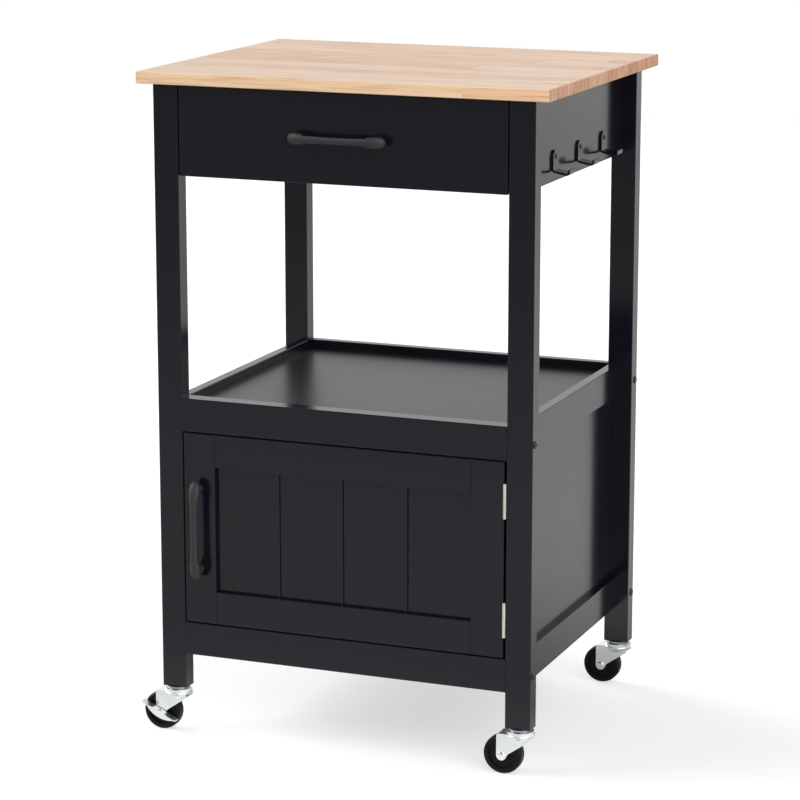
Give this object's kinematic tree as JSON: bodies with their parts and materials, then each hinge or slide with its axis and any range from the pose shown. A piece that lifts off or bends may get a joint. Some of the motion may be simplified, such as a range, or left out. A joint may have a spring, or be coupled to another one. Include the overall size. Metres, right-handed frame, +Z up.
{
  "type": "rolling kitchen island",
  "caption": "Small kitchen island on swivel casters, with a butcher-block top, a drawer, an open tray shelf, a cabinet with one hinged door, and side hooks.",
  "frame": {"origin": "on the floor, straight below the middle of the worktop", "axes": "+X to the right seen from the front, the front with the drawer and the door towards -Y, +Z up"},
  "size_m": [0.548, 0.449, 0.85],
  "materials": {
    "butcher_block": "oiled light hardwood staves, satin",
    "black_lacquer": "black lacquer on wood, semi-gloss",
    "drawer_wood": "pale softwood, sealed",
    "drawer_board": "thin pale board, sealed",
    "handle_casting": "dark satin casting",
    "plated_steel": "bright plated steel",
    "hinge_nickel": "nickel plated steel",
    "hook_paint": "gloss black paint",
    "bolt_black": "satin black steel",
    "catch_plastic": "black moulded plastic round a magnet",
    "zinc_plate": "bright zinc-plated pressed steel",
    "wheel_plastic": "black moulded plastic"
  },
  "bodies": {
    "carcass": {"worktop": "butcher_block", "leg_front_left": "black_lacquer", "leg_front_right": "black_lacquer", "leg_rear_left": "black_lacquer", "leg_rear_right": "black_lacquer", "apron_left": "black_lacquer", "apron_right": "black_lacquer", "apron_rear": "black_lacquer", "tray_front_rail": "black_lacquer", "tray_rail_left": "black_lacquer", "tray_rail_right": "black_lacquer", "tray_rear_rail": "black_lacquer", "tray_shelf": "black_lacquer", "side_panel_left": "black_lacquer", "side_panel_right": "black_lacquer", "back_panel": "black_lacquer", "bottom_front_rail": "black_lacquer", "bottom_rail_left": "black_lacquer", "bottom_rail_right": "black_lacquer", "bottom_rear_rail": "black_lacquer", "cabinet_floor": "black_lacquer", "runner_left": "drawer_wood", "runner_right": "drawer_wood", "frame_bolts": "bolt_black", "utensil_hooks": "hook_paint", "hook_screws": "hook_paint", "hinge_leaves_frame": "hinge_nickel", "hinge_pins": "hinge_nickel", "magnetic_catch": "catch_plastic", "caster_stems": "plated_steel"},
    "drawer": {"drawer_front": "black_lacquer", "drawer_side_left": "drawer_wood", "drawer_side_right": "drawer_wood", "drawer_back": "drawer_wood", "drawer_bottom": "drawer_board", "drawer_handle": "handle_casting", "drawer_handle_screws": "plated_steel"},
    "door": {"door_stile_left": "black_lacquer", "door_stile_right": "black_lacquer", "door_rail_top": "black_lacquer", "door_rail_bottom": "black_lacquer", "door_panel": "black_lacquer", "door_handle": "handle_casting", "door_handle_screws": "plated_steel", "hinge_leaves_door": "hinge_nickel", "strike_plate": "plated_steel"},
    "fork_front_left": {"fork_front_left": "zinc_plate", "axle_front_left": "plated_steel"},
    "wheel_front_left": {"wheel_front_left": "wheel_plastic"},
    "brake_lever_front_left": {"brake_lever_front_left": "zinc_plate"},
    "fork_front_right": {"fork_front_right": "zinc_plate", "axle_front_right": "plated_steel"},
    "wheel_front_right": {"wheel_front_right": "wheel_plastic"},
    "fork_rear_left": {"fork_rear_left": "zinc_plate", "axle_rear_left": "plated_steel"},
    "wheel_rear_left": {"wheel_rear_left": "wheel_plastic"},
    "brake_lever_rear_left": {"brake_lever_rear_left": "zinc_plate"},
    "fork_rear_right": {"fork_rear_right": "zinc_plate", "axle_rear_right": "plated_steel"},
    "wheel_rear_right": {"wheel_rear_right": "wheel_plastic"}
  },
  "joints": [
    {"name": "drawer_slide", "type": "slide", "parent": "carcass", "child": "drawer", "axis": [0, -1, 0], "range_m": [0, 0.28]},
    {"name": "door_hinge", "type": "hinge", "parent": "carcass", "child": "door", "pos_m": [0.215, -0.2112, 0.27385], "axis": [0, 0, 1], "range_deg": [0, 170]},
    {"name": "swivel_front_left", "type": "hinge", "parent": "carcass", "child": "fork_front_left", "pos_m": [-0.233, -0.198, 0.055], "axis": [0, 0, 1], "continuous": true},
    {"name": "roll_front_left", "type": "hinge", "parent": "fork_front_left", "child": "wheel_front_left", "pos_m": [-0.254, -0.198, 0.025], "axis": [0, 1, 0], "continuous": true},
    {"name": "brake_front_left", "type": "hinge", "parent": "fork_front_left", "child": "brake_lever_front_left", "pos_m": [-0.254, -0.198, 0.025], "axis": [0, 1, 0], "range_deg": [-50, 0]},
    {"name": "swivel_front_right", "type": "hinge", "parent": "carcass", "child": "fork_front_right", "pos_m": [0.233, -0.198, 0.055], "axis": [0, 0, 1], "continuous": true},
    {"name": "roll_front_right", "type": "hinge", "parent": "fork_front_right", "child": "wheel_front_right", "pos_m": [0.212, -0.198, 0.025], "axis": [0, 1, 0], "continuous": true},
    {"name": "swivel_rear_left", "type": "hinge", "parent": "carcass", "child": "fork_rear_left", "pos_m": [-0.233, 0.198, 0.055], "axis": [0, 0, 1], "continuous": true},
    {"name": "roll_rear_left", "type": "hinge", "parent": "fork_rear_left", "child": "wheel_rear_left", "pos_m": [-0.254, 0.198, 0.025], "axis": [0, 1, 0], "continuous": true},
    {"name": "brake_rear_left", "type": "hinge", "parent": "fork_rear_left", "child": "brake_lever_rear_left", "pos_m": [-0.254, 0.198, 0.025], "axis": [0, 1, 0], "range_deg": [-50, 0]},
    {"name": "swivel_rear_right", "type": "hinge", "parent": "carcass", "child": "fork_rear_right", "pos_m": [0.233, 0.198, 0.055], "axis": [0, 0, 1], "continuous": true},
    {"name": "roll_rear_right", "type": "hinge", "parent": "fork_rear_right", "child": "wheel_rear_right", "pos_m": [0.212, 0.198, 0.025], "axis": [0, 1, 0], "continuous": true}
  ]
}
